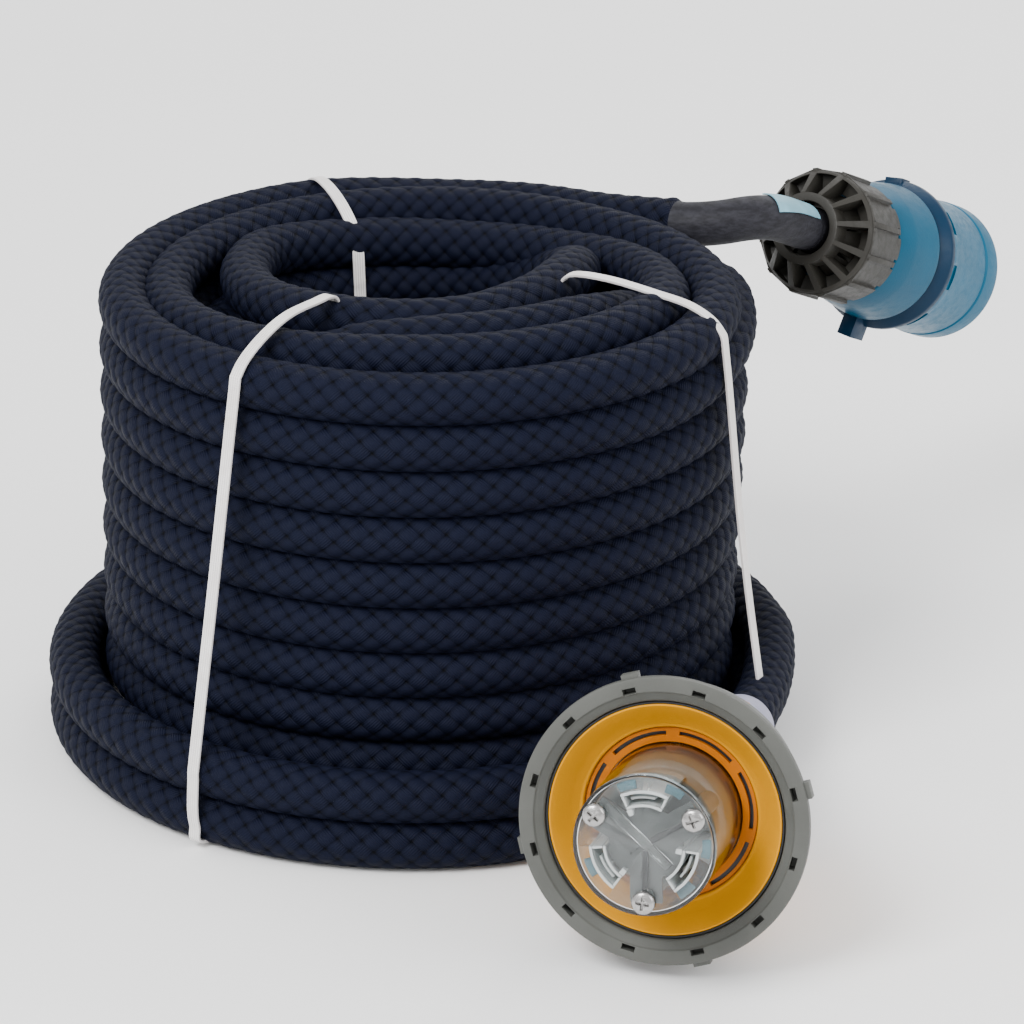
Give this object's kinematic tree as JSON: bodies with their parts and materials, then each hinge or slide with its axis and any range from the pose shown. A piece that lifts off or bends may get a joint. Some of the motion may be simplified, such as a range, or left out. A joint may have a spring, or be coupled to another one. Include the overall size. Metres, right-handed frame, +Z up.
{
  "type": "shore power cord set",
  "caption": "Coiled braided shore power cord with a locking boat connector on one end and a pin-and-sleeve plug on the other.",
  "frame": {"origin": "on the flat underside of the coil, under its middle layer at the front", "axes": "+Z up, +X to the coil's right, -Y to the front, where the connector's mouth points"},
  "size_m": [0.3004, 0.3834, 0.1479],
  "materials": {
    "braid": "tightly braided navy polyester sleeve",
    "cable_rubber": "matt charcoal rubber",
    "marker": "pale blue, blank",
    "tie_elastic": "flat white elastic",
    "ring_plastic": "mid grey moulded",
    "seal_rubber": "black",
    "housing_plastic": "warm yellow moulded",
    "clear_insert": "clear polycarbonate",
    "carrier_plastic": "grey",
    "steel": "plated",
    "brass": "bright",
    "core_line": "brown insulation",
    "core_neutral": "blue insulation",
    "core_earth": "green and yellow insulation",
    "boot_rubber": "pale lavender grey",
    "plug_plastic": "mid blue moulded",
    "nut_plastic": "dark grey moulded"
  },
  "bodies": {
    "cord_set": {"cord_coil": "braid", "cord_base_turn": "braid", "cord_tail_connector": "braid", "bare_cable": "cable_rubber", "cable_marker": "marker", "tie_left": "tie_elastic", "tie_right": "tie_elastic", "tie_back": "tie_elastic", "ring_gasket": "seal_rubber", "connector_housing": "housing_plastic", "rear_cover": "housing_plastic", "socket_face": "clear_insert", "contact_carrier": "carrier_plastic", "face_screw_1": "steel", "face_screw_2": "steel", "face_screw_3": "steel", "socket_contact_line": "brass", "socket_screw_line": "steel", "connector_core_line": "core_line", "socket_contact_neutral": "brass", "socket_screw_neutral": "steel", "connector_core_neutral": "core_neutral", "socket_contact_earth": "brass", "socket_screw_earth": "steel", "connector_core_earth": "core_earth", "cord_clamp_upper": "ring_plastic", "cord_clamp_lower": "ring_plastic", "clamp_screw_left": "steel", "clamp_screw_right": "steel", "connector_cable_end": "cable_rubber", "strain_relief_boot": "boot_rubber", "plug_shell": "plug_plastic", "shell_gasket": "seal_rubber", "plug_rear_shell": "plug_plastic", "pin_carrier": "carrier_plastic", "plug_pin_line": "brass", "plug_screw_line": "steel", "plug_core_line": "core_line", "plug_pin_neutral": "brass", "plug_screw_neutral": "steel", "plug_core_neutral": "core_neutral", "plug_pin_earth": "brass", "plug_screw_earth": "steel", "plug_core_earth": "core_earth", "gland_seal": "seal_rubber", "plug_cable_end": "cable_rubber"},
    "ring": {"locking_ring": "ring_plastic"},
    "claw": {"gland_claw": "nut_plastic"},
    "nut": {"gland_nut": "nut_plastic"}
  },
  "joints": [
    {"name": "ring_spin", "type": "hinge", "parent": "cord_set", "child": "ring", "pos_m": [0.0691, -0.1087, 0.046], "axis": [-0.2221, -0.9584, 0.1791], "continuous": true},
    {"name": "claw_slide", "type": "slide", "parent": "cord_set", "child": "claw", "axis": [-0.4949, -0.7619, 0.4179], "range_m": [0, 0.004]},
    {"name": "nut_turn", "type": "hinge", "parent": "claw", "child": "nut", "pos_m": [0.12771, 0.16815, 0.12363], "axis": [-0.4949, -0.7619, 0.4179], "range_deg": [0, 720]}
  ],
  "couplings": [
    {"joint": "nut_turn", "follows": "claw_slide", "rad_per_m": 3141.6}
  ]
}
